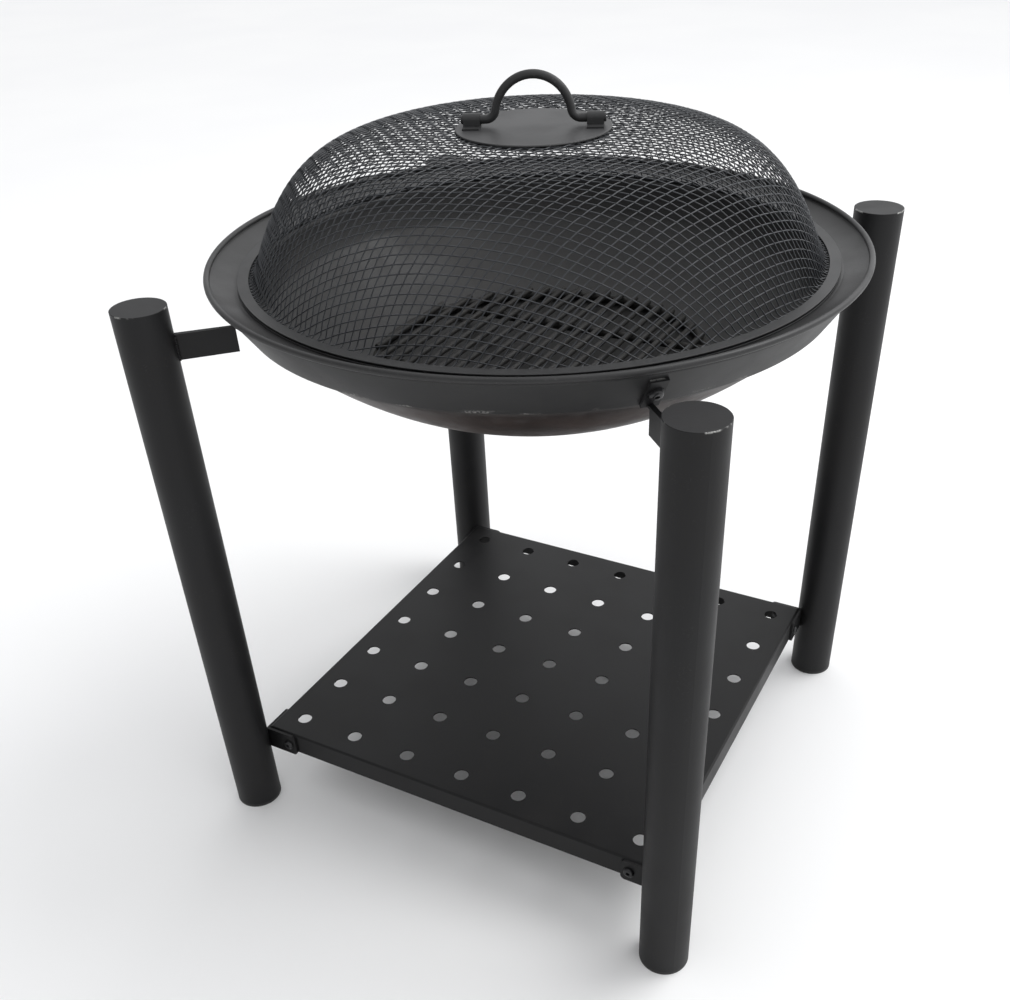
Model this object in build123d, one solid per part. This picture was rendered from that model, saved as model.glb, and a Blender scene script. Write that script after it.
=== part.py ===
"""Round steel fire pit on four tube legs, with a fire grate, a mesh spark lid and a shelf for firewood.

Millimetres, +Z up. The origin is on the floor, under the middle of the bowl. The legs stand at the
corners of a square whose sides run along X and Y, and -Y is the front. Every sheet-metal round
piece is turned about Z from a section drawn in the XZ plane, where X is the radius.
"""
from build123d import *
from math import atan2, cos, hypot, isclose, pi, sin, sqrt
import os

# ---------------------------------------------------------------- driving dimensions
# bowl
SHEET = 1.5                 # all formed sheet steel
RIM_DIAMETER = 618.0        # over the rolled edge
RIM_ROLL = 2.8              # radius of the rolled edge
SLOPE_BITE = 0.4            # share of RIM_ROLL: where the sloping rim runs into the roll, off its centre
SLOPE_WIDTH = 22.1          # sloping rim, from the seat to the roll
SEAT_DROP = 13.5            # top of the rolled edge down to the lid seat
SEAT_WIDTH = 15.0
MOUTH_WALL = 35.3           # height of the wall between the seat and the dish
MOUTH_TAPER = 4.0           # how much narrower the mouth wall is at its foot
MOUTH_CORNER = 5.0
BOWL_DEPTH = 157.5          # top of the rolled edge down to the lowest point inside

# legs
LEG_HEIGHT = 600.0          # floor to the top of a leg cap
LEG_DIAMETER = 50.0
LEG_WALL = 1.5
LEG_GAP = 33.7              # between the rolled edge and a leg, seen from above
RIM_ABOVE_LEGS = 12.5
CAP_THICKNESS = 2.0         # steel disc that closes the top of a leg
FOOT_THICKNESS = 4.0        # plastic foot below the end of the tube
CAP_ROUND = 0.6             # rounded edge of a cap or foot, or a quarter of a thinner one
PLUG_DEPTH = 14.0           # how far caps and feet reach into the tube
PLUG_WALL = 2.0
PLUG_CLEARANCE = 0.15

# apron ring under the rim, which the brackets bolt to
APRON_DROP = 42.5           # top of the rolled edge down to the foot of the apron
APRON_TAPER = 25.1          # how much narrower it is at its foot, on the radius
APRON_FLANGE = 8.0          # part that lies under the rim and is welded to it
APRON_HEM = 1.6             # radius of the hem at its foot

# brackets between the legs and the apron
BAR_HEIGHT = 24.5
BAR_THICKNESS = 5.0
BAR_ABOVE_APRON_FOOT = 2.5  # top of a bar above the foot of the apron
BAR_END = 9.0               # lower end of a bar, outside the foot of the apron
TAB_WIDTH = 15.0
TAB_THICKNESS = 3.0
TAB_TOP_GAP = 9.0           # along the slope, from the shoulder of the apron
TAB_FOOT_GAP = 0.4          # along the slope, from the foot of the apron
TAB_SCREW = 24.0            # along the slope, from the shoulder of the apron
WELD_BITE = 1.0             # how far brackets are notched over the round of a leg

# shelf
SHELF_TOP = 97.5
SHELF_FOLD = 25.5           # height of the folded edge
SHELF_BEND = 2.5            # outside radius of the fold
SHELF_SLIT = 0.6            # gap between two folded edges at a corner
HOLE_DIAMETER = 16.0
HOLE_MARGIN = 28.8          # middle of the outermost holes to the shelf's edge
HOLE_ROWS = 7
ANGLE_LENGTH = 40.0         # shelf bracket, along the shelf
ANGLE_HEIGHT = 27.0
ANGLE_THICKNESS = 3.0
ANGLE_TOP_DROP = 1.5        # below the shelf's top
ANGLE_CORNER = 5.0
SCREW_FROM_CORNER = 27.5
SCREW_BELOW_SHELF = 15.0

# screws, washers and nuts
THREAD = 6.0
HOLE_PLAY = 0.6             # screw holes are this much wider than the thread
HEAD_DIAMETER = 11.5
HEAD_HEIGHT = 3.2
HEAD_ROUND = 2.4
SOCKET_ACROSS_FLATS = 4.0
SOCKET_DEPTH = 1.8
WASHER_DIAMETER = 13.0
WASHER_THICKNESS = 1.2
NUT_ACROSS_FLATS = 10.0
NUT_HEIGHT = 5.0
NUT_CHAMFER = 0.4
THREAD_PROUD = 2.0          # thread past the nut
THREAD_CHAMFER = 0.8
THREAD_PLAY = 0.05          # between a nut and the plain core that stands for the thread
DRILL_LENGTH = 30.0         # of a drill that passes through everything at a screw

# spark lid: a mesh dome whose flange lies between two flat rings
LID_GAP = 0.3               # between the lid and the seat
LID_SIDE_PLAY = 2.4         # between the rings and the slope of the rim
LID_RING_WIDTH = 10.5
LID_RING_THICKNESS = 1.0    # each of the two rings
RING_ROUND = 0.35           # edges of the rings
MESH_WIRES = 1.6            # the two layers of wire
MESH_RISE = 110.4           # flange to crown
MESH_INSIDE_RING = 4.2      # foot of the dome, before its flare, to the inner edge of the rings
MESH_FLARE = 6.0            # radius in which the dome turns out into its flange
MESH_FLANGE = 8.0           # how far the flange reaches between the rings
DOME_POWER = 6.4            # how square the dome's shoulder is
DOME_STEPS = 12             # points on its outline
TOP_PLATE_MARGIN = 5.9      # around the feet of the handle clips
TOP_PLATE_THICKNESS = 1.5
PLATE_SEAT = 0.1            # the crown falls this much under the inner plate

# lid handle
HANDLE_ROD = 7.5
ROD_CHAMFER = 0.5           # cut ends of the handle and of the grate's bars
HANDLE_ARCH_RADIUS = 34.0   # centre line of the arch
HANDLE_ARCH_LIFT = 2.0      # centre of the arch above the pivot
HANDLE_BEND = 9.0           # centre-line radius where the arch turns out into the pivots
HANDLE_ANGLE = 24.0         # degrees from +X
HANDLE_FREE_RUN = 5.1       # pivot between the bend and a clip
HANDLE_END_RUN = 2.0        # pivot outside a clip
PIVOT_GAP = 2.45            # between a pivot and the top plate
PIVOT_CLEARANCE = 0.1
CLIP_WIDTH = 15.0
CLIP_SHEET = 1.5
CLIP_FOOT = 9.0

# fire grate
GRATE_DIAMETER = 340.0
GRATE_RING_ROD = 8.0
GRATE_BAR_ROD = 6.0
GRATE_BAR_PITCH = 17.0
GRATE_CROSS_OFFSET = 75.0   # each cross bar from the centre
GRATE_GAP = 0.4             # between the grate and the bowl

# ---------------------------------------------------------------- derived places
rim_radius = RIM_DIAMETER / 2
rim_height = LEG_HEIGHT + RIM_ABOVE_LEGS
roll_centre = (rim_radius - RIM_ROLL, rim_height - RIM_ROLL)
slope_top = (roll_centre[0] - RIM_ROLL * SLOPE_BITE, roll_centre[1] - RIM_ROLL * SLOPE_BITE)
seat_height = rim_height - SEAT_DROP
seat_edge = slope_top[0] - SLOPE_WIDTH
mouth_radius = seat_edge - SEAT_WIDTH
wall_foot = (mouth_radius - MOUTH_TAPER, seat_height - MOUTH_WALL)
dish_bottom = rim_height - BOWL_DEPTH
dish_rise = wall_foot[1] - dish_bottom
dish_radius = (wall_foot[0] ** 2 + dish_rise**2) / (2 * dish_rise)

leg_radius = LEG_DIAMETER / 2
leg_out = rim_radius + LEG_GAP + leg_radius      # leg centre from the bowl's axis
leg_at = leg_out / sqrt(2)
shelf_half = leg_at - (leg_radius - WELD_BITE) / sqrt(2) - ANGLE_THICKNESS
thread_hole = THREAD + HOLE_PLAY

lid_ring_radius = seat_edge - LID_SIDE_PLAY
lid_ring_inner = lid_ring_radius - LID_RING_WIDTH
flange_bottom = seat_height + LID_GAP + LID_RING_THICKNESS
flange_top = flange_bottom + MESH_WIRES
mesh_radius = lid_ring_inner - MESH_INSIDE_RING
mesh_top = flange_top + MESH_RISE
plate_top = mesh_top + TOP_PLATE_THICKNESS

CORNERS = {"front_left": 225, "front_right": 315, "back_right": 45, "back_left": 135}

os.makedirs("parts", exist_ok=True)


# ---------------------------------------------------------------- shared helpers
def save(name, shape):
    export_step(shape, f"parts/{name}.step")


def around(angle):
    """Turn about the bowl's axis, from +X."""
    return Rotation(0, 0, angle)


def turned(section):
    """Full turn of a section drawn in the XZ plane."""
    return revolve(section, axis=Axis.Z, revolution_arc=360)


def bent_sheet(wire_points, thickness, side):
    """Section of a bent sheet: straight runs through the points, with the thickness on one side."""
    with BuildSketch(Plane.XZ) as section:
        with BuildLine():
            Polyline(*wire_points)
            offset(amount=thickness, side=side, kind=Kind.INTERSECTION)
        make_face()
    return section.sketch


# ---------------------------------------------------------------- legs, caps and feet
def leg_tube():
    length = LEG_HEIGHT - CAP_THICKNESS - FOOT_THICKNESS
    tube = Cylinder(leg_radius, length) - Cylinder(leg_radius - LEG_WALL, length)
    return Pos(0, 0, FOOT_THICKNESS + length / 2) * tube


def leg_plug(flange):
    """Closing disc with a hollow plug that reaches down from it; flange is the disc's thickness."""
    plug_radius = leg_radius - LEG_WALL - PLUG_CLEARANCE
    disc = Cylinder(leg_radius, flange, align=(Align.CENTER, Align.CENTER, Align.MIN))
    disc = fillet(disc.edges().group_by(Axis.Z)[-1], min(CAP_ROUND, flange / 4))
    plug = Cylinder(plug_radius, PLUG_DEPTH, align=(Align.CENTER, Align.CENTER, Align.MAX))
    hollow = Cylinder(plug_radius - PLUG_WALL, PLUG_DEPTH, align=(Align.CENTER, Align.CENTER, Align.MAX))
    return disc + (plug - hollow)


leg = leg_tube()
leg_cap = Pos(0, 0, LEG_HEIGHT - CAP_THICKNESS) * leg_plug(CAP_THICKNESS)
foot = Pos(0, 0, FOOT_THICKNESS) * Rotation(180, 0, 0) * leg_plug(FOOT_THICKNESS)
for corner, angle in CORNERS.items():
    place = around(angle) * Pos(leg_out, 0, 0)
    save(f"leg_{corner}", place * leg)
    save(f"leg_cap_{corner}", place * leg_cap)
    save(f"foot_{corner}", place * foot)


# ---------------------------------------------------------------- bowl and apron ring
def bowl():
    """Spun dish with a short mouth wall, a flat seat for the lid, a sloping rim and a rolled edge."""
    with BuildSketch(Plane.XZ) as section:
        with BuildLine():
            dish = RadiusArc((0, dish_bottom), wall_foot, -dish_radius, short_sagitta=True)
            Polyline(dish @ 1, (mouth_radius, seat_height), (seat_edge, seat_height), slope_top)
            offset(amount=SHEET, side=Side.RIGHT, kind=Kind.INTERSECTION)
        make_face()
    shell = turned(section.sketch)
    mouth = [edge for edge in shell.edges().filter_by(GeomType.CIRCLE)
             if isclose(edge.radius, mouth_radius) and isclose(edge.center().Z, seat_height)]
    shell = fillet(mouth, MOUTH_CORNER)
    rolled_edge = Pos(0, 0, roll_centre[1]) * Torus(roll_centre[0], RIM_ROLL)
    return shell + rolled_edge


def under_rim(radius):
    """Height of the underside of the sloping rim at a radius."""
    run = (slope_top[0] - seat_edge, slope_top[1] - seat_height)
    down = SHEET * hypot(*run) / run[0]
    return seat_height + (radius - seat_edge) * run[1] / run[0] - down


apron_shoulder_radius = roll_centre[0] - RIM_ROLL * SLOPE_BITE
apron_shoulder = (apron_shoulder_radius, under_rim(apron_shoulder_radius))
apron_foot = (apron_shoulder_radius - APRON_TAPER, rim_height - APRON_DROP)
apron_start = apron_shoulder_radius - APRON_FLANGE
apron_run = (apron_foot[0] - apron_shoulder[0], apron_foot[1] - apron_shoulder[1])
apron_length = hypot(*apron_run)
down_slope = (apron_run[0] / apron_length, apron_run[1] / apron_length)
off_slope = (-down_slope[1], down_slope[0])      # outwards and downwards, square to the apron


def on_apron(along, out):
    """Point in the section plane: down the apron from its shoulder, and out from its face."""
    return (apron_shoulder[0] + down_slope[0] * along + off_slope[0] * out,
            apron_shoulder[1] + down_slope[1] * along + off_slope[1] * out)


def apron_ring():
    """Sloping band whose flange lies under the rim, with a round hem at its foot and screw holes."""
    start = (apron_start, under_rim(apron_start))
    section = bent_sheet([start, apron_shoulder, apron_foot], SHEET, Side.RIGHT)
    hem_at = on_apron(apron_length - APRON_HEM / 2, -APRON_HEM)
    hem = Pos(0, 0, hem_at[1]) * Torus(hem_at[0], APRON_HEM)
    ring = turned(section) + hem
    rolled_edge = Pos(0, 0, roll_centre[1]) * Torus(roll_centre[0], RIM_ROLL)
    ring -= rolled_edge
    for angle in CORNERS.values():
        ring -= around(angle) * screw_plane(0) * Cylinder(thread_hole / 2, DRILL_LENGTH)
    return ring


def screw_plane(out):
    """Location on a tab's centre line at its screw, with +Z square to the apron and outwards."""
    x, z = on_apron(TAB_SCREW, out)
    return Location(Plane(origin=(x, 0, z), x_dir=(0, 1, 0), z_dir=(off_slope[0], 0, off_slope[1])))


save("bowl", bowl())
save("apron_ring", apron_ring())


# ---------------------------------------------------------------- bowl brackets
def bowl_bracket():
    """Flat bar on edge from the leg, with a tab on its end that lies on the apron."""
    bar_top = apron_foot[1] + BAR_ABOVE_APRON_FOOT
    bar_end = apron_foot[0] + BAR_END
    bar_bottom = bar_top - BAR_HEIGHT
    tab_length = apron_length - TAB_TOP_GAP - TAB_FOOT_GAP
    tab_foot = on_apron(TAB_TOP_GAP + tab_length, TAB_THICKNESS / 2)
    outline = Polyline((leg_out, bar_top), on_apron((apron_shoulder[1] - bar_top) / -down_slope[1],
                                                    TAB_THICKNESS / 2),
                       tab_foot, (bar_end, tab_foot[1]),
                       (bar_end, bar_bottom), (leg_out, bar_bottom), close=True)
    bar_face = Plane.XZ * make_face(outline)
    bar = Pos(0, BAR_THICKNESS / 2, 0) * extrude(bar_face, amount=BAR_THICKNESS)
    tab_centre = on_apron(TAB_TOP_GAP + tab_length / 2, TAB_THICKNESS / 2)
    tab_plane = Plane(origin=(tab_centre[0], 0, tab_centre[1]), x_dir=(0, 1, 0),
                      z_dir=(off_slope[0], 0, off_slope[1]))
    tab = tab_plane * Box(TAB_WIDTH, tab_length, TAB_THICKNESS)
    bracket = bar + tab
    bracket -= Pos(leg_out, 0, LEG_HEIGHT / 2) * Cylinder(leg_radius, LEG_HEIGHT)
    bracket -= screw_plane(0) * Cylinder(thread_hole / 2, DRILL_LENGTH)
    return bracket


bracket = bowl_bracket()
for corner, angle in CORNERS.items():
    save(f"bowl_bracket_{corner}", around(angle) * bracket)


# ---------------------------------------------------------------- shelf and its angle brackets
def folded_tray():
    """Square plate with its four edges folded down, and a slit where two folds meet."""
    low = (Align.CENTER, Align.CENTER, Align.MIN)
    base = SHELF_TOP - SHELF_FOLD
    inside_half = shelf_half - SHEET
    outside = Pos(0, 0, base) * Box(2 * shelf_half, 2 * shelf_half, SHELF_FOLD, align=low)
    outside = fillet(outside.edges().group_by(Axis.Z)[-1], SHELF_BEND)
    inside = Pos(0, 0, base) * Box(2 * inside_half, 2 * inside_half, SHELF_FOLD - SHEET, align=low)
    inside = fillet(inside.edges().group_by(Axis.Z)[-1], SHELF_BEND - SHEET)
    tray = outside - inside
    for angle in CORNERS.values():
        slit = Box(4 * SHELF_BEND, SHELF_SLIT, SHELF_FOLD - SHELF_BEND, align=low)
        tray -= around(angle) * Pos(shelf_half * sqrt(2), 0, base) * slit
    return tray


def shelf():
    """Square tray, open below, with a square grid of round holes and two screw holes per corner."""
    tray = folded_tray()
    reach = shelf_half - HOLE_MARGIN
    pitch = 2 * reach / (HOLE_ROWS - 1)
    holes = [Pos(-reach + i * pitch, -reach + j * pitch, SHELF_TOP)
             * Cylinder(HOLE_DIAMETER / 2, 4 * SHEET) for i in range(HOLE_ROWS) for j in range(HOLE_ROWS)]
    tray -= holes
    tray -= [place * Cylinder(thread_hole / 2, DRILL_LENGTH) for place in shelf_screw_places()]
    return tray


def shelf_screw_places():
    """Screw places on the folded edges, two at each corner, with +Z outwards at the fold's face."""
    along = shelf_half - SCREW_FROM_CORNER
    height = SHELF_TOP - SCREW_BELOW_SHELF
    for turn in range(4):
        for side in (-1, 1):
            yield around(90 * turn) * Pos(shelf_half, side * along, height) * Rotation(0, 90, 0)


def shelf_bracket():
    """Angle around the back-right corner of the shelf, notched over the round of the leg."""
    top = SHELF_TOP - ANGLE_TOP_DROP
    outer = shelf_half + ANGLE_THICKNESS
    inner = outer - ANGLE_LENGTH
    middle = (inner + outer) / 2
    leaf = Pos(middle, outer - ANGLE_THICKNESS / 2, top - ANGLE_HEIGHT / 2) * Box(
        ANGLE_LENGTH, ANGLE_THICKNESS, ANGLE_HEIGHT)
    free_corner = leaf.edges().filter_by(Axis.Y).group_by(Axis.X)[0]
    leaf = fillet(free_corner, ANGLE_CORNER)
    angle = leaf + leaf.mirror(Plane(origin=(0, 0, 0), z_dir=(1, -1, 0)))
    angle -= Pos(leg_at, leg_at, LEG_HEIGHT / 2) * Cylinder(leg_radius, LEG_HEIGHT)
    angle -= [place * Cylinder(thread_hole / 2, DRILL_LENGTH) for place in shelf_screw_places()]
    return angle


save("storage_shelf", shelf())
corner_angle = shelf_bracket()
for corner, angle in CORNERS.items():
    save(f"shelf_bracket_{corner}", around(angle - 45) * corner_angle)


# ---------------------------------------------------------------- screws, washers and nuts
def screw(grip):
    """Button-head socket screw; its head sits on z = 0 and its shank runs down from there."""
    head = Cylinder(HEAD_DIAMETER / 2, HEAD_HEIGHT, align=(Align.CENTER, Align.CENTER, Align.MIN))
    head = fillet(head.edges().group_by(Axis.Z)[-1], HEAD_ROUND)
    socket = extrude(Plane.XY * RegularPolygon(SOCKET_ACROSS_FLATS / 2, 6, major_radius=False),
                     amount=HEAD_HEIGHT)
    head -= Pos(0, 0, HEAD_HEIGHT - SOCKET_DEPTH) * socket
    length = grip + NUT_HEIGHT + THREAD_PROUD
    shank = Cylinder(THREAD / 2, length, align=(Align.CENTER, Align.CENTER, Align.MAX))
    shank = chamfer(shank.edges().group_by(Axis.Z)[0], THREAD_CHAMFER)
    return head + shank


def washer():
    ring = Cylinder(WASHER_DIAMETER / 2, WASHER_THICKNESS, align=(Align.CENTER, Align.CENTER, Align.MIN))
    return ring - Cylinder(thread_hole / 2, 4 * WASHER_THICKNESS)


def nut():
    """Hexagon nut that hangs down from z = 0, with the corners of its hexagon turned off."""
    hexagon = extrude(Plane.XY * RegularPolygon(NUT_ACROSS_FLATS / 2, 6, major_radius=False),
                      amount=-NUT_HEIGHT)
    turned_off = Pos(0, 0, -NUT_HEIGHT / 2) * Cylinder(NUT_ACROSS_FLATS / 2 + NUT_CHAMFER, NUT_HEIGHT)
    turned_off = chamfer(turned_off.edges().filter_by(GeomType.CIRCLE), NUT_CHAMFER)
    return (hexagon & turned_off) - Cylinder(THREAD / 2 + THREAD_PLAY, 4 * NUT_HEIGHT)


def group(shapes):
    """One compound of separate solids."""
    return Compound(children=[solid for shape in shapes for solid in shape.solids()])


# inside the apron a flat washer touches the curved sheet only with its edge, a little off the face
washer_stand_off = (WASHER_DIAMETER / 2) ** 2 / (2 * on_apron(TAB_SCREW, 0)[0])
head_seat = TAB_THICKNESS + WASHER_THICKNESS
nut_seat = -SHEET - washer_stand_off - WASHER_THICKNESS
bowl_turns = [around(angle) for angle in CORNERS.values()]
save("bowl_screws", group([turn * screw_plane(head_seat) * screw(head_seat - nut_seat)
                           for turn in bowl_turns]))
save("bowl_washers", group([turn * screw_plane(seat) * washer() for turn in bowl_turns
                            for seat in (TAB_THICKNESS, nut_seat)]))
save("bowl_nuts", group([turn * screw_plane(nut_seat) * nut() for turn in bowl_turns]))

shelf_grip = ANGLE_THICKNESS + SHEET
shelf_places = list(shelf_screw_places())
save("shelf_screws", group([place * Pos(0, 0, ANGLE_THICKNESS) * screw(shelf_grip)
                            for place in shelf_places]))
save("shelf_nuts", group([place * Pos(0, 0, -SHEET) * nut() for place in shelf_places]))


# ---------------------------------------------------------------- spark lid
def flat_ring(outer, inner, bottom, thickness):
    """Ring of rectangular section with rounded edges."""
    ring = (Cylinder(outer, thickness, align=(Align.CENTER, Align.CENTER, Align.MIN))
            - Cylinder(inner, 4 * thickness))
    return Pos(0, 0, bottom) * fillet(ring.edges().filter_by(GeomType.CIRCLE), RING_ROUND)


def dome_line(inset):
    """Half outline of the dome at a depth inside its outer face: flange, flare, wall and crown.

    Above the flange the height falls off with a high power of the radius. The flare is an arc that
    leaves the flange level and meets the wall where both have the same slope.
    """
    base = flange_top - inset
    foot_radius = mesh_radius - inset
    flare = MESH_FLARE + inset
    radius = foot_radius
    for _ in range(20):
        slope = MESH_RISE * DOME_POWER / foot_radius * (radius / foot_radius) ** (DOME_POWER - 1)
        level = 1 / hypot(1, slope)              # how far the wall's outward normal points up
        height = flare * (1 - level)
        radius = foot_radius * (1 - height / MESH_RISE) ** (1 / DOME_POWER)
    flare_end = (radius + flare * slope * level, base)
    radii = [radius * cos(pi / 2 * i / DOME_STEPS) for i in range(DOME_STEPS)] + [0]
    wall = [(r, base + MESH_RISE * (1 - (r / foot_radius) ** DOME_POWER)) for r in radii]
    edge = Line((lid_ring_inner + MESH_FLANGE, base), flare_end)
    bend = TangentArc(flare_end, wall[0], tangent=(-1, 0))
    crown = Spline(*wall, tangents=[(-level, slope * level), (-1, 0)])
    return [edge, bend, crown]


def spark_mesh():
    """Envelope of the pressed wire mesh: a thin dome with a flange around its foot."""
    outside = dome_line(0)
    inside = dome_line(MESH_WIRES)
    closing = [Line(outside[0] @ 0, inside[0] @ 0), Line(outside[-1] @ 1, inside[-1] @ 1)]
    return turned(Plane.XZ * make_face(outside + inside + closing))


save("lid_ring", flat_ring(lid_ring_radius, lid_ring_inner, flange_top, LID_RING_THICKNESS))
save("lid_clamp_ring", flat_ring(lid_ring_radius, lid_ring_inner, flange_bottom - LID_RING_THICKNESS,
                                 LID_RING_THICKNESS))
save("spark_mesh", spark_mesh())


# ---------------------------------------------------------------- lid handle and its clips
# The small bend is tangent to the pivot line and, from outside, to the arch.
pivot_height = HANDLE_ROD / 2 + PIVOT_GAP
bend_x = sqrt((HANDLE_ARCH_RADIUS + HANDLE_BEND) ** 2 - (HANDLE_BEND - HANDLE_ARCH_LIFT) ** 2)
clip_at = bend_x + HANDLE_FREE_RUN + CLIP_WIDTH / 2
handle_end = clip_at + CLIP_WIDTH / 2 + HANDLE_END_RUN
clip_hole = HANDLE_ROD / 2 + PIVOT_CLEARANCE
clip_crown = clip_hole + CLIP_SHEET
clip_foot_end = clip_crown + CLIP_FOOT


def handle_rod():
    """Round bar: pivot, quarter bend up, arch, quarter bend down, pivot."""
    share = HANDLE_ARCH_RADIUS / (HANDLE_ARCH_RADIUS + HANDLE_BEND)
    touch = (bend_x * share, HANDLE_ARCH_LIFT + (HANDLE_BEND - HANDLE_ARCH_LIFT) * share)
    half_turn = atan2(bend_x - touch[0], HANDLE_BEND - touch[1]) / 2
    middle = (bend_x - HANDLE_BEND * sin(half_turn), HANDLE_BEND - HANDLE_BEND * cos(half_turn))
    left_touch, left_middle = (-touch[0], touch[1]), (-middle[0], middle[1])
    with BuildLine(Plane.XZ) as path:
        Line((-handle_end, 0), (-bend_x, 0))
        ThreePointArc((-bend_x, 0), left_middle, left_touch)
        ThreePointArc(left_touch, (0, HANDLE_ARCH_LIFT + HANDLE_ARCH_RADIUS), touch)
        ThreePointArc(touch, middle, (bend_x, 0))
        Line((bend_x, 0), (handle_end, 0))
    start = Plane(origin=path.line @ 0, z_dir=path.line % 0)
    rod = sweep(start * Circle(HANDLE_ROD / 2), path=path.line)
    return chamfer(rod.edges().group_by(Axis.X)[0] + rod.edges().group_by(Axis.X)[-1], ROD_CHAMFER)


def handle_clip():
    """Strap bent over a pivot, with a foot on each side that lies on the top plate."""
    with BuildSketch(Plane.YZ) as section:
        Circle(clip_crown)
        with Locations((0, -pivot_height / 2)):
            Rectangle(2 * clip_crown, pivot_height)
        with Locations((0, -pivot_height + CLIP_SHEET / 2)):
            Rectangle(2 * clip_foot_end, CLIP_SHEET)
        Circle(clip_hole, mode=Mode.SUBTRACT)
        with Locations((0, -pivot_height / 2)):
            Rectangle(2 * clip_hole, pivot_height, mode=Mode.SUBTRACT)
    return Pos(-CLIP_WIDTH / 2, 0, 0) * extrude(section.sketch, amount=CLIP_WIDTH)


handle_place = around(HANDLE_ANGLE) * Pos(0, 0, plate_top + pivot_height)
save("lid_handle", handle_place * handle_rod())
for name, side in (("left", -1), ("right", 1)):
    save(f"handle_clip_{name}", handle_place * Pos(side * clip_at, 0, 0) * handle_clip())


# ---------------------------------------------------------------- plates on and under the crown
plate_radius = hypot(clip_at + CLIP_WIDTH / 2, clip_foot_end) + TOP_PLATE_MARGIN
plate = Cylinder(plate_radius, TOP_PLATE_THICKNESS, align=(Align.CENTER, Align.CENTER, Align.MIN))
plate = fillet(plate.edges().group_by(Axis.Z)[-1], TOP_PLATE_THICKNESS / 2)
save("lid_top_plate", Pos(0, 0, mesh_top) * plate)
save("lid_inner_plate", Pos(0, 0, mesh_top - MESH_WIRES - PLATE_SEAT) * Rotation(180, 0, 0) * plate)


# ---------------------------------------------------------------- fire grate
# The ring rests on the slope of the dish; its centre stands off the inside by rod radius and gap.
grate_ring_radius = (GRATE_DIAMETER - GRATE_RING_ROD) / 2
ring_stand_off = dish_radius - GRATE_RING_ROD / 2 - GRATE_GAP
grate_ring_z = dish_bottom + dish_radius - sqrt(ring_stand_off**2 - grate_ring_radius**2)
grate_bar_z = grate_ring_z + (GRATE_RING_ROD + GRATE_BAR_ROD) / 2


def rod_along(length, diameter):
    """Round bar along Y, centred, with its end edges broken."""
    bar = Rotation(90, 0, 0) * Cylinder(diameter / 2, length)
    return chamfer(bar.edges().filter_by(GeomType.CIRCLE), ROD_CHAMFER)


def half_chord(offset_from_centre):
    return sqrt(grate_ring_radius**2 - offset_from_centre**2)


grate_ring = Pos(0, 0, grate_ring_z) * Torus(grate_ring_radius, GRATE_RING_ROD / 2)
save("grate_ring", grate_ring)
cross_bars = [Pos(0, side * GRATE_CROSS_OFFSET, grate_ring_z) * around(90)
              * rod_along(2 * half_chord(GRATE_CROSS_OFFSET), GRATE_RING_ROD) - grate_ring
              for side in (-1, 1)]
save("grate_cross_bars", group(cross_bars))
bar_count = int((grate_ring_radius - GRATE_BAR_PITCH / 2) // GRATE_BAR_PITCH)
bars = [Pos(i * GRATE_BAR_PITCH, 0, grate_bar_z)
        * rod_along(2 * half_chord(i * GRATE_BAR_PITCH), GRATE_BAR_ROD)
        for i in range(-bar_count, bar_count + 1)]
save("grate_bars", group(bars))
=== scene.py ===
"""Round steel fire pit: bowl on four tube legs, mesh spark lid, fire grate and perforated shelf."""
import math
import random
from bisect import bisect_right

import bmesh
import bpy
from mathutils import Matrix, Vector, noise


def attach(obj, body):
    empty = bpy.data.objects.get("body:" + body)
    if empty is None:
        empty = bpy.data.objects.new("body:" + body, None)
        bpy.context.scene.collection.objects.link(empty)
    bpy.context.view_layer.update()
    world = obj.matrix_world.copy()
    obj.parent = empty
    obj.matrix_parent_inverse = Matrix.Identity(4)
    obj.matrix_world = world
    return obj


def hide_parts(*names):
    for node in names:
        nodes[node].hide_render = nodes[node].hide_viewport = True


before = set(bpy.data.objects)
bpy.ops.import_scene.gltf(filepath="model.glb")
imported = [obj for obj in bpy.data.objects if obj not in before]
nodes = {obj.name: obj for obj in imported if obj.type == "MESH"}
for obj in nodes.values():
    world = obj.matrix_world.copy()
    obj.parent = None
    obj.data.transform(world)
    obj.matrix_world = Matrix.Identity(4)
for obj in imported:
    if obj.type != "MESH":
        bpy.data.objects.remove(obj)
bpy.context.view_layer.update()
CORNERS = {"front_left": 225, "front_right": 315, "back_right": 45, "back_left": 135}


# ---------------------------------------------------------------- legs
# Four 50 mm steel tubes with a steel disc let into the top, ground flush and powder coated matt black.
# The powder leaves a fine orange-peel grain; the rim of a disc is where the coat chips first.
LEG_AT = 0.26
LEG_RADIUS = 0.025
LEG_TOP = 0.600


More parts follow.
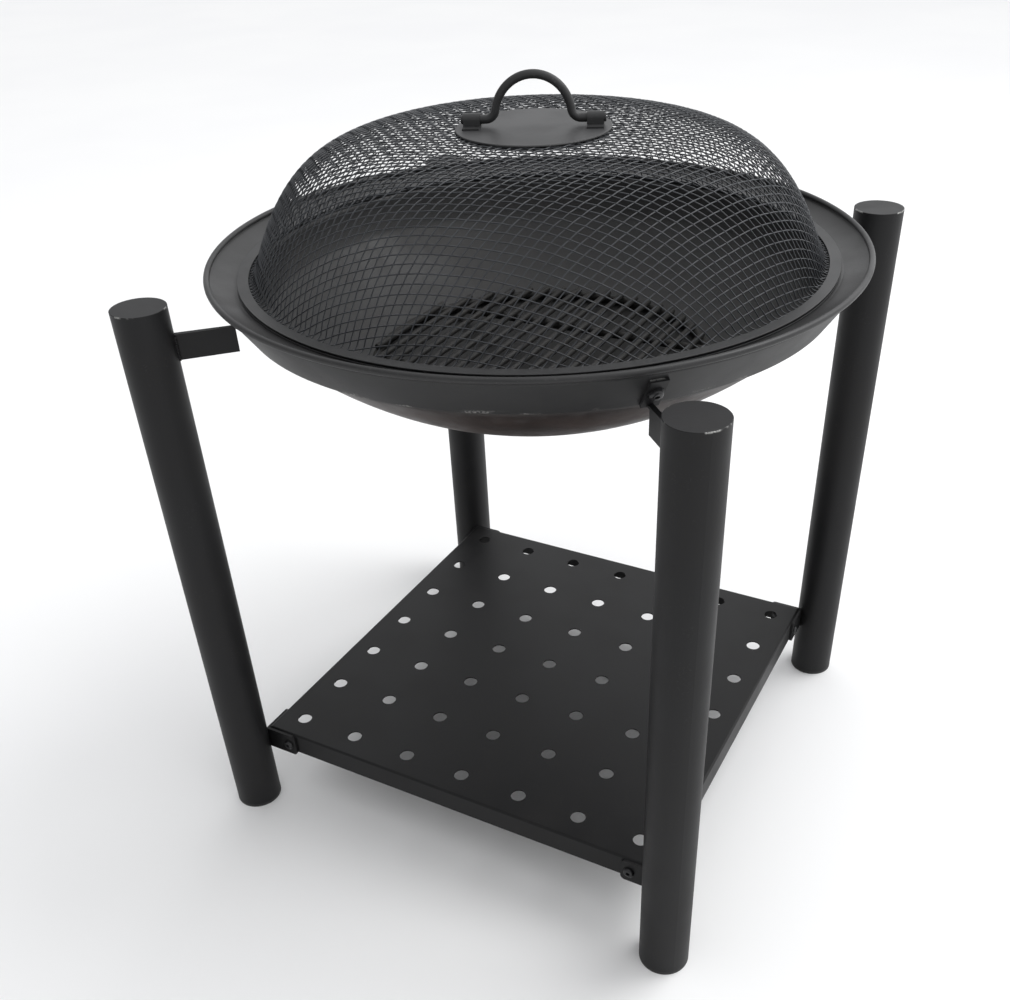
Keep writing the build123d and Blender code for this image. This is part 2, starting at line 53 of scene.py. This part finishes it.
class Port:
    """An output of a node in a finish. Sums on ports add Math nodes; node() adds any other node."""

    def __init__(self, socket):
        self.socket = socket
        self.tree = socket.id_data

    def node(self, kind, settings=None, inputs=None, output=0):
        made = self.tree.nodes.new("ShaderNode" + kind)
        for name, value in (settings or {}).items():
            if name == "stops":
                ramp = made.color_ramp.elements
                while len(ramp) < len(value):
                    ramp.new(0.5)
                for stop, (position, colour) in zip(ramp, value):
                    stop.position, stop.color = position, (*colour, 1)
            else:
                setattr(made, name, value)
        for name, value in (inputs or {}).items():
            feed(made.inputs[name], value)
        return Port(made.outputs[output])

    def maths(self, operation, first, second=0.0):
        return self.node("Math", {"operation": operation}, {0: first, 1: second})

    def __add__(self, other): return self.maths("ADD", self, other)
    def __radd__(self, other): return self.maths("ADD", other, self)
    def __sub__(self, other): return self.maths("SUBTRACT", self, other)
    def __rsub__(self, other): return self.maths("SUBTRACT", other, self)
    def __mul__(self, other): return self.maths("MULTIPLY", self, other)
    def __rmul__(self, other): return self.maths("MULTIPLY", other, self)
    def __truediv__(self, other): return self.maths("DIVIDE", self, other)
    def __pow__(self, other): return self.maths("POWER", self, other)
    def __abs__(self): return self.maths("ABSOLUTE", self)

    def step(self, low, high):
        """0 below low, 1 above high, and smooth between; low may be the greater."""
        return self.node("MapRange", {"interpolation_type": "SMOOTHSTEP"},
                         {"Value": self, "From Min": low, "From Max": high})

    def grain(self, size, detail=3.0, roughness=0.55, stretch=(1, 1, 1)):
        """Cloudy noise about 0.5, with blobs of about this size in metres."""
        place = self.node("Mapping", inputs={"Vector": self, "Scale": stretch})
        return self.node("TexNoise", {"noise_dimensions": "3D"},
                         {"Vector": place, "Scale": 1 / size, "Detail": detail, "Roughness": roughness})

    def tint(self, plain, other):
        """Colour: plain where this mask is 0, other where it is 1."""
        return self.node("Mix", {"data_type": "RGBA"}, {0: self, 6: plain, 7: other}, output=2)


def feed(socket, value):
    if isinstance(value, Port):
        socket.id_data.links.new(value.socket, socket)
    elif socket.type == "RGBA" and len(value) == 3:
        socket.default_value = (*value, 1)
    else:
        socket.default_value = value


def finish(name, **constants):
    """A new material with its shader's own numbers set; gives it, its shader and the place on the object."""
    material = bpy.data.materials.new(name)
    material.use_nodes = True
    shader = material.node_tree.nodes["Principled BSDF"]
    for key, value in constants.items():
        feed(shader.inputs[key.replace("_", " ").title().replace("Ior", "IOR")], value)
    place = Port(material.node_tree.nodes.new("ShaderNodeTexCoord").outputs["Object"])
    return material, shader, place


def relief(place, height, strength, distance):
    return place.node("Bump", inputs={"Height": height, "Strength": strength, "Distance": distance})


def axes(place):
    split = place.node("SeparateXYZ", inputs={0: place})
    return split, Port(split.socket.node.outputs[1]), Port(split.socket.node.outputs[2])


def ring_around(place, x=0.0, y=0.0, mirrored=False):
    """Distance from an upright axis at (x, y), or at that place in all four quarters."""
    across, along, _ = axes(place)
    across = (abs(across) if mirrored else across) - x
    along = (abs(along) if mirrored else along) - y
    return (across * across + along * along) ** 0.5


def powder_coat(name, colour, gloss=0.48, shine=0.36, warmth=(1.25, 1.2, 1.15), worn=None, peel=0.10):
    """Powder coat: cloudy colour, dust in the hollows, orange peel, and bare steel where worn is 1."""
    material, shader, place = finish(name, specular_ior_level=shine)
    clouds = place.grain(0.06, 4).step(0.35, 0.7)
    dust = place.grain(0.0016, 2).step(0.58, 0.72) * place.grain(0.03, 2).step(0.45, 0.65)
    paint = clouds.tint(colour, [c * w for c, w in zip(colour, warmth)])
    paint = (dust * 0.5).tint(paint, [3.2 * c + 0.012 for c in colour])
    rough = gloss + clouds * 0.07 + dust * 0.15
    if worn:
        bare = worn(place)
        paint = bare.tint(paint, (0.30, 0.30, 0.29))
        rough = rough - bare * 0.12
        feed(shader.inputs["Metallic"], bare * 0.8)
    feed(shader.inputs["Base Color"], paint)
    feed(shader.inputs["Roughness"], rough)
    height = place.grain(0.0022, 2) + place.grain(0.0007, 1) * 0.5
    feed(shader.inputs["Normal"], relief(place, height, peel, 0.0004))
    return material


def cap_edge_wear(place):
    """Chips around the upper edge of each leg, in short arcs."""
    edge = ring_around(place, LEG_AT, LEG_AT, mirrored=True).step(LEG_RADIUS - 0.0009, LEG_RADIUS - 0.0003)
    top = axes(place)[2].step(LEG_TOP - 0.0016, LEG_TOP - 0.0006)
    arcs = place.grain(0.016, 2, stretch=(1, 1, 0.2)).step(0.53, 0.60)
    return edge * top * arcs * place.grain(0.0016, 2).step(0.36, 0.50)


frame_coat = powder_coat("frame_powder_coat", (0.0072, 0.0072, 0.0078), shine=0.26, worn=cap_edge_wear)


def recoat(material, *names):
    """Gives CAD nodes a finish."""
    for name in names:
        nodes[name].data.materials.clear()
        nodes[name].data.materials.append(material)


recoat(frame_coat, *(f"{part}_{corner}" for corner in CORNERS for part in ("leg", "leg_cap")))


# ---------------------------------------------------------------- feet
# Black moulded plastic plugs pressed into the lower ends of the legs, fine-grained as they leave the mould
# and scuffed pale around the edge that stands on the ground.
foot_plastic, foot_shader, foot_place = finish("moulded_foot", specular_ior_level=0.4)
scuffed = axes(foot_place)[2].step(0.0022, 0.0) * foot_place.grain(0.003, 3).step(0.4, 0.65)
feed(foot_shader.inputs["Base Color"], scuffed.tint((0.012, 0.012, 0.012), (0.09, 0.085, 0.08)))
feed(foot_shader.inputs["Roughness"], 0.5 + scuffed * 0.3)
feed(foot_shader.inputs["Normal"], relief(foot_place, foot_place.grain(0.0006, 2), 0.25, 0.0003))
recoat(foot_plastic, *(f"foot_{corner}" for corner in CORNERS))


# ---------------------------------------------------------------- bowl
# Spun from 1.5 mm steel: a shallow dish, a short wall, the flat seat for the lid, a sloping rim, and an edge
# rolled over until the cut end lies just off the slope. Heat-resistant matt paint, with a brown cast on the
# underside of the dish towards the bottom.
SHEET = 0.0015
DISH_BOTTOM = 0.455
DISH_FOOT = (0.26398, 0.5637)
SEAT_Z = 0.599
SEAT_INNER, SEAT_OUTER = 0.26798, 0.28298
ROLL_AT = (0.3062, 0.6097)
ROLL = 0.0028
RADIAL_STEPS = 240


class Section:
    """A closed outline in the XZ plane, drawn point by point, for turning into a solid."""

    def __init__(self, x, z):
        self.mesh = bmesh.new()
        self.tip = self.first = self.mesh.verts.new((x, 0, z))
        self.rounds = []

    def to(self, x, z, rounded=0.0, steps=4):
        """A straight run; the point that it ends at may be rounded to a radius."""
        point = self.mesh.verts.new((x, 0, z))
        self.mesh.edges.new((self.tip, point))
        self.tip = point
        if rounded:
            self.rounds.append((point, rounded, steps))
        return self

    def arc(self, x, z, degrees, steps):
        """An arc about (x, z), from the last point; positive turns +X towards +Z."""
        swung = bmesh.ops.spin(self.mesh, geom=[self.tip], cent=(x, 0, z), axis=(0, -1, 0),
                               angle=math.radians(degrees), steps=steps, use_duplicate=False)
        self.tip = swung["geom_last"][0]
        return self

    def close(self):
        self.mesh.edges.new((self.tip, self.first))
        self.round_off()
        return self

    def round_off(self):
        for point, radius, steps in self.rounds:
            one, other = (edge.other_vert(point).co - point.co for edge in point.link_edges)
            back = radius / math.tan(one.angle(other) / 2)
            bmesh.ops.bevel(self.mesh, geom=[point], offset=back, segments=steps, affect="VERTICES",
                            profile=0.5, material=-1)

    def turn(self, steps=RADIAL_STEPS):
        """Turns the outline about the bowl's axis into a closed solid."""
        bmesh.ops.spin(self.mesh, geom=self.mesh.verts[:] + self.mesh.edges[:], cent=(0, 0, 0),
                       axis=(0, 0, 1), angle=2 * math.pi, steps=steps, use_merge=True, use_duplicate=False)
        return tidy(self.mesh)


def tidy(mesh):
    bmesh.ops.remove_doubles(mesh, verts=mesh.verts[:], dist=1e-6)
    bmesh.ops.recalc_face_normals(mesh, faces=mesh.faces[:])
    return mesh


def piece(name, mesh, material, body, slot, *replaced, crease=35):
    """Makes a finished piece of a bmesh and hands it to its body."""
    data = bpy.data.meshes.new(name)
    mesh.to_mesh(data)
    mesh.free()
    data.materials.append(material)
    data.shade_smooth()
    data.set_sharp_from_angle(angle=math.radians(crease))
    made = bpy.data.objects.new(name, data)
    bpy.context.scene.collection.objects.link(made)
    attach(made, body)
    if replaced:
        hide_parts(*replaced)
    return made


dish_rise = DISH_FOOT[1] - DISH_BOTTOM
dish_radius = (DISH_FOOT[0] ** 2 + dish_rise ** 2) / (2 * dish_rise)
dish_angle = math.degrees(math.asin(DISH_FOOT[0] / dish_radius))
under_foot = DISH_FOOT[0] * (dish_radius + SHEET) / dish_radius
slope = (ROLL_AT[0] - ROLL * 0.4, ROLL_AT[1] - ROLL * 0.4)

bowl = Section(0, DISH_BOTTOM).arc(0, DISH_BOTTOM + dish_radius, dish_angle, 28)
bowl.to(SEAT_INNER, SEAT_Z, 0.005, 6).to(SEAT_OUTER, SEAT_Z, 0.0022, 3)
bowl.to(slope[0] - 0.0004, slope[1] - 0.0022)
# the rolled edge runs on from the slope: down under the roll, outwards, over the top and back inside
bowl.to(ROLL_AT[0] - 0.0006, ROLL_AT[1] - ROLL + 0.0011).to(ROLL_AT[0] + 0.0004, ROLL_AT[1] - ROLL + 0.0012)
bowl.arc(ROLL_AT[0], ROLL_AT[1], 245, 14).to(ROLL_AT[0] - ROLL * 0.90, ROLL_AT[1] - 0.0010, 0.0003, 2)
bowl.to(ROLL_AT[0] - ROLL * 0.985, ROLL_AT[1] - 0.0004).arc(ROLL_AT[0], ROLL_AT[1], -252, 22)
bowl.to(SEAT_OUTER + 0.0006, SEAT_Z - SHEET, 0.003, 3)
bowl.to(SEAT_INNER + 0.0013, SEAT_Z - SHEET, 0.0035, 5).to(under_foot, DISH_FOOT[1] - 0.0006)
bowl.arc(0, DISH_BOTTOM + dish_radius, -dish_angle, 28)
bowl.round_off()


def bowl_paint():
    """Matt stove paint: coarser than powder coat, with runs of soot inside and a brown cast below."""
    material, shader, place = finish("bowl_paint", specular_ior_level=0.4)
    height = axes(place)[2]
    from_centre = place.node("VectorMath", {"operation": "DISTANCE"},
                             {0: place, 1: (0, 0, DISH_BOTTOM + dish_radius)}, output=1)
    below = from_centre.step(dish_radius + SHEET * 0.4, dish_radius + SHEET * 0.6)
    clouds = place.grain(0.05, 5).step(0.3, 0.7)
    # brown cast on the outside of the dish, towards the bottom
    brown = below * height.step(0.576, 0.545) * (0.55 + clouds * 0.45)
    streaks = place.grain(0.02, 4, stretch=(1, 1, 0.25)).step(0.45, 0.75) * height.step(0.60, 0.58)
    specks = place.grain(0.0018, 2).step(0.60, 0.74)
    colour = clouds.tint((0.0150, 0.0150, 0.0155), (0.0200, 0.0198, 0.0200))
    colour = brown.tint(colour, (0.030, 0.0185, 0.0150))
    colour = (streaks * 0.4).tint(colour, (0.038, 0.034, 0.033))
    feed(shader.inputs["Base Color"], (specks * 0.4).tint(colour, (0.075, 0.074, 0.072)))
    feed(shader.inputs["Roughness"], 0.40 + clouds * 0.10 + streaks * 0.12 + specks * 0.15)
    bumps = place.grain(0.0025, 2) + place.grain(0.0008, 1) * 0.5
    feed(shader.inputs["Normal"], relief(place, bumps, 0.10, 0.0004))
    return material


piece("bowl_shell", bowl.turn(), bowl_paint(), "frame", "bowl_paint", "bowl", crease=50)


# ---------------------------------------------------------------- apron ring
# Rolled band of the same sheet, welded under the rim, that the brackets bolt to. Its lower edge is hemmed,
# and that hem is painted lighter grey in patches: scuffs from handling, and a painted highlight on its
# rounded edge.
FLANGE_EDGE, FLANGE_EDGE_BELOW = (0.29708, 0.60348), (0.297677, 0.602101)
SHOULDER, SHOULDER_INSIDE = (0.30470, 0.60678), (0.300935, 0.603513)
APRON_FOOT = (0.28043, 0.57066)
HEM_AT = (0.27911, 0.57156)
HEM_WRAP = -273.6

apron = Section(*FLANGE_EDGE).to(*SHOULDER, 0.0014, 4).to(*APRON_FOOT).arc(*HEM_AT, HEM_WRAP, 22)
apron.to(*SHOULDER_INSIDE, 0.0010, 3).to(*FLANGE_EDGE_BELOW).close()


def apron_paint():
    material, shader, place = finish("apron_paint", specular_ior_level=0.38)
    height = axes(place)[2]
    clouds = place.grain(0.05, 4).step(0.3, 0.7)
    hem = height.step(0.5755, 0.5705)
    patches = place.grain(0.035, 3, stretch=(1, 1, 3)).step(0.52, 0.62)
    # lighter grey patches along the hem: scuffs, and also a painted highlight on the hem's rounded edge
    scuffs_and_painted_highlight = hem * patches * place.grain(0.002, 3).step(0.4, 0.62)
    specks = place.grain(0.0018, 2).step(0.60, 0.74)
    colour = clouds.tint((0.0120, 0.0120, 0.0126), (0.0160, 0.0158, 0.0160))
    colour = (specks * 0.35).tint(colour, (0.06, 0.06, 0.058))
    feed(shader.inputs["Base Color"], scuffs_and_painted_highlight.tint(colour, (0.22, 0.215, 0.205)))
    feed(shader.inputs["Roughness"], 0.44 + clouds * 0.08 + specks * 0.12)
    bumps = place.grain(0.0022, 2) + place.grain(0.0007, 1) * 0.5
    feed(shader.inputs["Normal"], relief(place, bumps, 0.10, 0.0004))
    return material


piece("apron_band", apron.turn(), apron_paint(), "frame", "bowl_paint", "apron_ring", crease=50)


# ---------------------------------------------------------------- brackets and shelf
# Flat bar brackets welded to the legs, and the folded shelf on its four welded angles, all powder coated with
# the frame. The shelf and its angles take a darker copy of the frame's coat: painted shade, standing for the
# shade under stacked firewood, which is not built. The shelf is punched with a grid of drain holes.
recoat(frame_coat, *(f"bowl_bracket_{corner}" for corner in CORNERS))
# a darker copy of the frame coat: painted shade over the shelf and its angles
shelf_coat_painted_shade = powder_coat("shelf_powder_coat_painted_shade", (0.0052, 0.0052, 0.0056), gloss=0.42, shine=0.24)
recoat(shelf_coat_painted_shade, "storage_shelf", *(f"shelf_bracket_{corner}" for corner in CORNERS))


# ---------------------------------------------------------------- weld beads
# Short rippled beads of weld metal down both sides of each bracket bar, where it meets the round of its leg.
# They are laid by hand, brushed clean, and powder coated with the frame.
BEAD = 0.0019
BEAD_STEP = 0.0020
BEAD_FOOT, BEAD_TOP = 0.5490, 0.5715
BEAD_ASIDE = 0.0036
bead_reach = LEG_AT * math.sqrt(2) - math.sqrt(LEG_RADIUS ** 2 - BEAD_ASIDE ** 2)
random.seed(3)

beads = bmesh.new()
for corner, angle in CORNERS.items():
    for side in (-1, 1):
        for k in range(round((BEAD_TOP - BEAD_FOOT) / BEAD_STEP)):
            aside, along = random.uniform(0.85, 1.15), random.uniform(0.7, 0.85)
            ripple = Matrix.Diagonal((BEAD, BEAD * aside, BEAD * along, 1))
            place = Matrix.Translation((bead_reach, side * BEAD_ASIDE, BEAD_FOOT + k * BEAD_STEP))
            bmesh.ops.create_uvsphere(beads, u_segments=9, v_segments=5, radius=1,
                                      matrix=Matrix.Rotation(math.radians(angle), 4, "Z") @ place @ ripple)
piece("bracket_welds", beads, frame_coat, "frame", "frame_paint", crease=60)


# ---------------------------------------------------------------- screws, washers and nuts
# M6 button-head screws with hex sockets, black oxide and a little oily, so glossier than the paint, with
# bright steel showing at the corners.
oxide, oxide_shader, oxide_place = finish("black_oxide", specular_ior_level=0.5)
rub = oxide_place.grain(0.0015, 3).step(0.52, 0.72)
feed(oxide_shader.inputs["Base Color"], rub.tint((0.010, 0.010, 0.011), (0.045, 0.045, 0.047)))
feed(oxide_shader.inputs["Roughness"], 0.30 + rub * 0.2)
feed(oxide_shader.inputs["Metallic"], 0.2 + rub * 0.5)
feed(oxide_shader.inputs["Normal"], relief(oxide_place, oxide_place.grain(0.0008, 2), 0.12, 0.0002))
recoat(oxide, "bowl_screws", "bowl_washers", "bowl_nuts", "shelf_screws", "shelf_nuts")


# ---------------------------------------------------------------- fire grate
# Round bars welded on two cross bars inside a round ring, dipped in black paint. It lies loose on the dish,
# so it lifts straight out.
grate_paint = powder_coat("grate_paint", (0.013, 0.0125, 0.012), gloss=0.55, peel=0.25)
recoat(grate_paint, "grate_ring", "grate_bars", "grate_cross_bars")


# ---------------------------------------------------------------- lid rings and plates
# Two flat rings of 1 mm sheet, welded together through the flange of the mesh, and two discs that clamp the
# crown. Satin heat-resistant paint.
lid_coat = powder_coat("lid_satin_coat", (0.0240, 0.0242, 0.0248), gloss=0.46, warmth=(1.12, 1.12, 1.12))
recoat(lid_coat, "lid_ring", "lid_clamp_ring", "lid_top_plate", "lid_inner_plate", "lid_handle",
       "handle_clip_left", "handle_clip_right")


# ---------------------------------------------------------------- spark mesh
# Woven mesh of 1.1 mm wire at a pitch of about 9 mm, pressed as one flat sheet into a dome with a flange,
# then painted. The wires pass over and under each other; pressing has racked the square cells into diamonds.
WIRE = 0.0011
WARP_STEP = Vector((0.0090, 0.00175))
WEFT_STEP = Vector((0.0023, 0.0082))
CRIMP = 0.00025
MESH_FOOT = 0.26508
MESH_BASE = 0.6011
MESH_RISE = 0.1104
DOME_POWER = 6.4
FLARE = 0.0068
FLANGE_END = 0.2775
WAVINESS = 0.0012
STEPS_PER_CELL = 3
DRIFT_SEED = 11


def dome_outline():
    """Points (distance along the sheet, radius, height) from the crown out to the end of the flange."""
    radius = MESH_FOOT
    for _ in range(20):
        fall = MESH_RISE * DOME_POWER / MESH_FOOT * (radius / MESH_FOOT) ** (DOME_POWER - 1)
        level = 1 / math.hypot(1, fall)
        radius = MESH_FOOT * (1 - FLARE * (1 - level) / MESH_RISE) ** (1 / DOME_POWER)
    points = []
    for i in range(400):
        r = radius * math.sin(math.pi / 2 * i / 400)
        points.append((r, MESH_BASE + MESH_RISE * (1 - (r / MESH_FOOT) ** DOME_POWER)))
    centre = radius + FLARE * fall * level
    lean = math.acos(level)
    for i in range(41):
        turn = lean * (1 - i / 40)
        points.append((centre - FLARE * math.sin(turn), MESH_BASE + FLARE * (1 - math.cos(turn))))
    points.append((FLANGE_END, MESH_BASE))
    along = [0.0]
    for a, b in zip(points, points[1:]):
        along.append(along[-1] + math.dist(a, b))
    return along, points


sheet_along, sheet_points = dome_outline()


def on_dome(u, v, lift):
    """Where a point of the flat sheet lands on the dome, lifted off its surface."""
    reach = math.hypot(u, v)
    i = min(max(bisect_right(sheet_along, reach) - 1, 0), len(sheet_points) - 2)
    share = (reach - sheet_along[i]) / (sheet_along[i + 1] - sheet_along[i])
    (r0, z0), (r1, z1) = sheet_points[i], sheet_points[i + 1]
    r, z = r0 + (r1 - r0) * share, z0 + (z1 - z0) * share
    run = math.dist(sheet_points[i], sheet_points[i + 1])
    r += lift * (z0 - z1) / run
    z += lift * (r1 - r0) / run
    x, y = (u / reach, v / reach) if reach else (1, 0)
    return Vector((r * x, r * y, z))


def weave(name, along, across, side):
    """All the wires of one direction; along runs from crossing to crossing, across to the next wire."""
    curve = bpy.data.curves.new(name, "CURVE")
    curve.dimensions = "3D"
    curve.bevel_depth = WIRE / 2
    curve.bevel_resolution = 1
    curve.use_fill_caps = True
    limit = sheet_along[-1]
    spacing = abs(along.x * across.y - along.y * across.x) / along.length
    rows = int(limit / spacing)
    for row in range(-rows, rows + 1):
        middle = -row * across.dot(along) / along.length_squared
        reach = math.sqrt(limit ** 2 - (row * spacing) ** 2) / along.length
        first = math.ceil((middle - reach) * STEPS_PER_CELL)
        last = math.floor((middle + reach) * STEPS_PER_CELL)
        if last - first < 6:
            continue
        spline = curve.splines.new("POLY")
        spline.points.add(last - first)
        for k, point in zip(range(first, last + 1), spline.points):
            u, v = row * across + k / STEPS_PER_CELL * along
            lift = side * CRIMP * math.cos(math.pi * row) * math.cos(math.pi * k / STEPS_PER_CELL)
            fade = 1 - min(1, max(0, (math.hypot(u, v) - limit + 0.02) / 0.012))
            drift = noise.noise_vector(Vector((u, v, 0)) * 16 + Vector((3, 7, 0))) * WAVINESS * fade
            point.co = (*on_dome(u + drift.x, v + drift.y, lift), 1)
    wires = bpy.data.objects.new(name, curve)
    bpy.context.scene.collection.objects.link(wires)
    bpy.context.view_layer.update()
    solid = bpy.data.meshes.new_from_object(wires.evaluated_get(bpy.context.evaluated_depsgraph_get()))
    bpy.data.objects.remove(wires)
    mesh = bmesh.new()
    mesh.from_mesh(solid)
    bpy.data.meshes.remove(solid)
    return mesh


wire_paint, wire_shader, wire_place = finish("wire_paint", specular_ior_level=0.5)
wire_clouds = wire_place.grain(0.02, 3).step(0.35, 0.7)
knots = wire_place.grain(0.0012, 2).step(0.5, 0.75)
feed(wire_shader.inputs["Base Color"], wire_clouds.tint((0.018, 0.020, 0.024), (0.030, 0.033, 0.038)))
feed(wire_shader.inputs["Roughness"], 0.34 + wire_clouds * 0.12 + knots * 0.1)
feed(wire_shader.inputs["Normal"], relief(wire_place, wire_place.grain(0.0007, 2), 0.3, 0.0002))
noise.seed_set(DRIFT_SEED)
piece("spark_mesh_warp", weave("spark_mesh_warp", WARP_STEP, WEFT_STEP, 1), wire_paint, "lid", "mesh_wire",
      "spark_mesh", crease=80)
piece("spark_mesh_weft", weave("spark_mesh_weft", WEFT_STEP, WARP_STEP, -1), wire_paint, "lid", "mesh_wire",
      "spark_mesh", crease=80)


# ---------------------------------------------------------------- floor, light and camera
# A plain pale floor and soft studio light: a sky that brightens behind and to the right, and one large soft
# lamp above.
WINDOW = (0.62, 0.55, 0.56)
LAMP_AT, LAMP_AIM = (1.6, 1.5, 3.2), (0, 0, 0.4)
CAMERA_AT = (0.48999, -0.92075, 0.94537)
CAMERA_HEADING, CAMERA_DIP, CAMERA_ROLL = 0.5077, 0.6356, -0.0402

floor_paint, floor_shader, floor_place = finish("pale_floor", roughness=0.9, specular_ior_level=0.1)
tone = floor_place.grain(0.8, 2).step(0.3, 0.7)
feed(floor_shader.inputs["Base Color"], tone.tint((0.86, 0.86, 0.86), (0.88, 0.88, 0.875)))
floor_mesh = bmesh.new()
bmesh.ops.create_grid(floor_mesh, x_segments=1, y_segments=1, size=40)
floor_data = bpy.data.meshes.new("floor")
floor_mesh.to_mesh(floor_data)
floor_mesh.free()
floor_data.materials.append(floor_paint)
floor = bpy.data.objects.new("floor", floor_data)
bpy.context.scene.collection.objects.link(floor)

world = bpy.data.worlds.new("studio")
bpy.context.scene.world = world
world.use_nodes = True
sky = world.node_tree.nodes["Background"]
look = Port(world.node_tree.nodes.new("ShaderNodeTexCoord").outputs["Generated"])
towards_window = look.node("VectorMath", {"operation": "DOT_PRODUCT"}, {0: look, 1: WINDOW}, output=1)
feed(sky.inputs["Color"], towards_window.step(-0.7, 0.95).tint((0.42, 0.42, 0.43), (1.35, 1.36, 1.38)))
feed(sky.inputs["Strength"], 1.0)

lamp_data = bpy.data.lights.new("soft_lamp", "AREA")
lamp_data.shape = "DISK"
lamp_data.size = 2.2
lamp_data.energy = 55
lamp = bpy.data.objects.new("soft_lamp", lamp_data)
lamp.location = LAMP_AT
lamp.rotation_euler = (Vector(LAMP_AIM) - lamp.location).to_track_quat("-Z", "Y").to_euler()
bpy.context.scene.collection.objects.link(lamp)

bpy.context.scene.view_settings.view_transform = "Standard"
camera_data = bpy.data.cameras.new("camera")
camera_data.sensor_width = 36
camera_data.lens = 39.143
camera_data.shift_x = -0.0261
camera_data.shift_y = 0.1117
camera_data.clip_end = 200
camera = bpy.data.objects.new("camera", camera_data)
turn = (Matrix.Rotation(CAMERA_HEADING, 4, "Z") @ Matrix.Rotation(math.pi / 2 - CAMERA_DIP, 4, "X")
        @ Matrix.Rotation(CAMERA_ROLL, 4, "Z"))
camera.matrix_world = Matrix.Translation(CAMERA_AT) @ turn
bpy.context.scene.collection.objects.link(camera)
bpy.context.scene.camera = camera
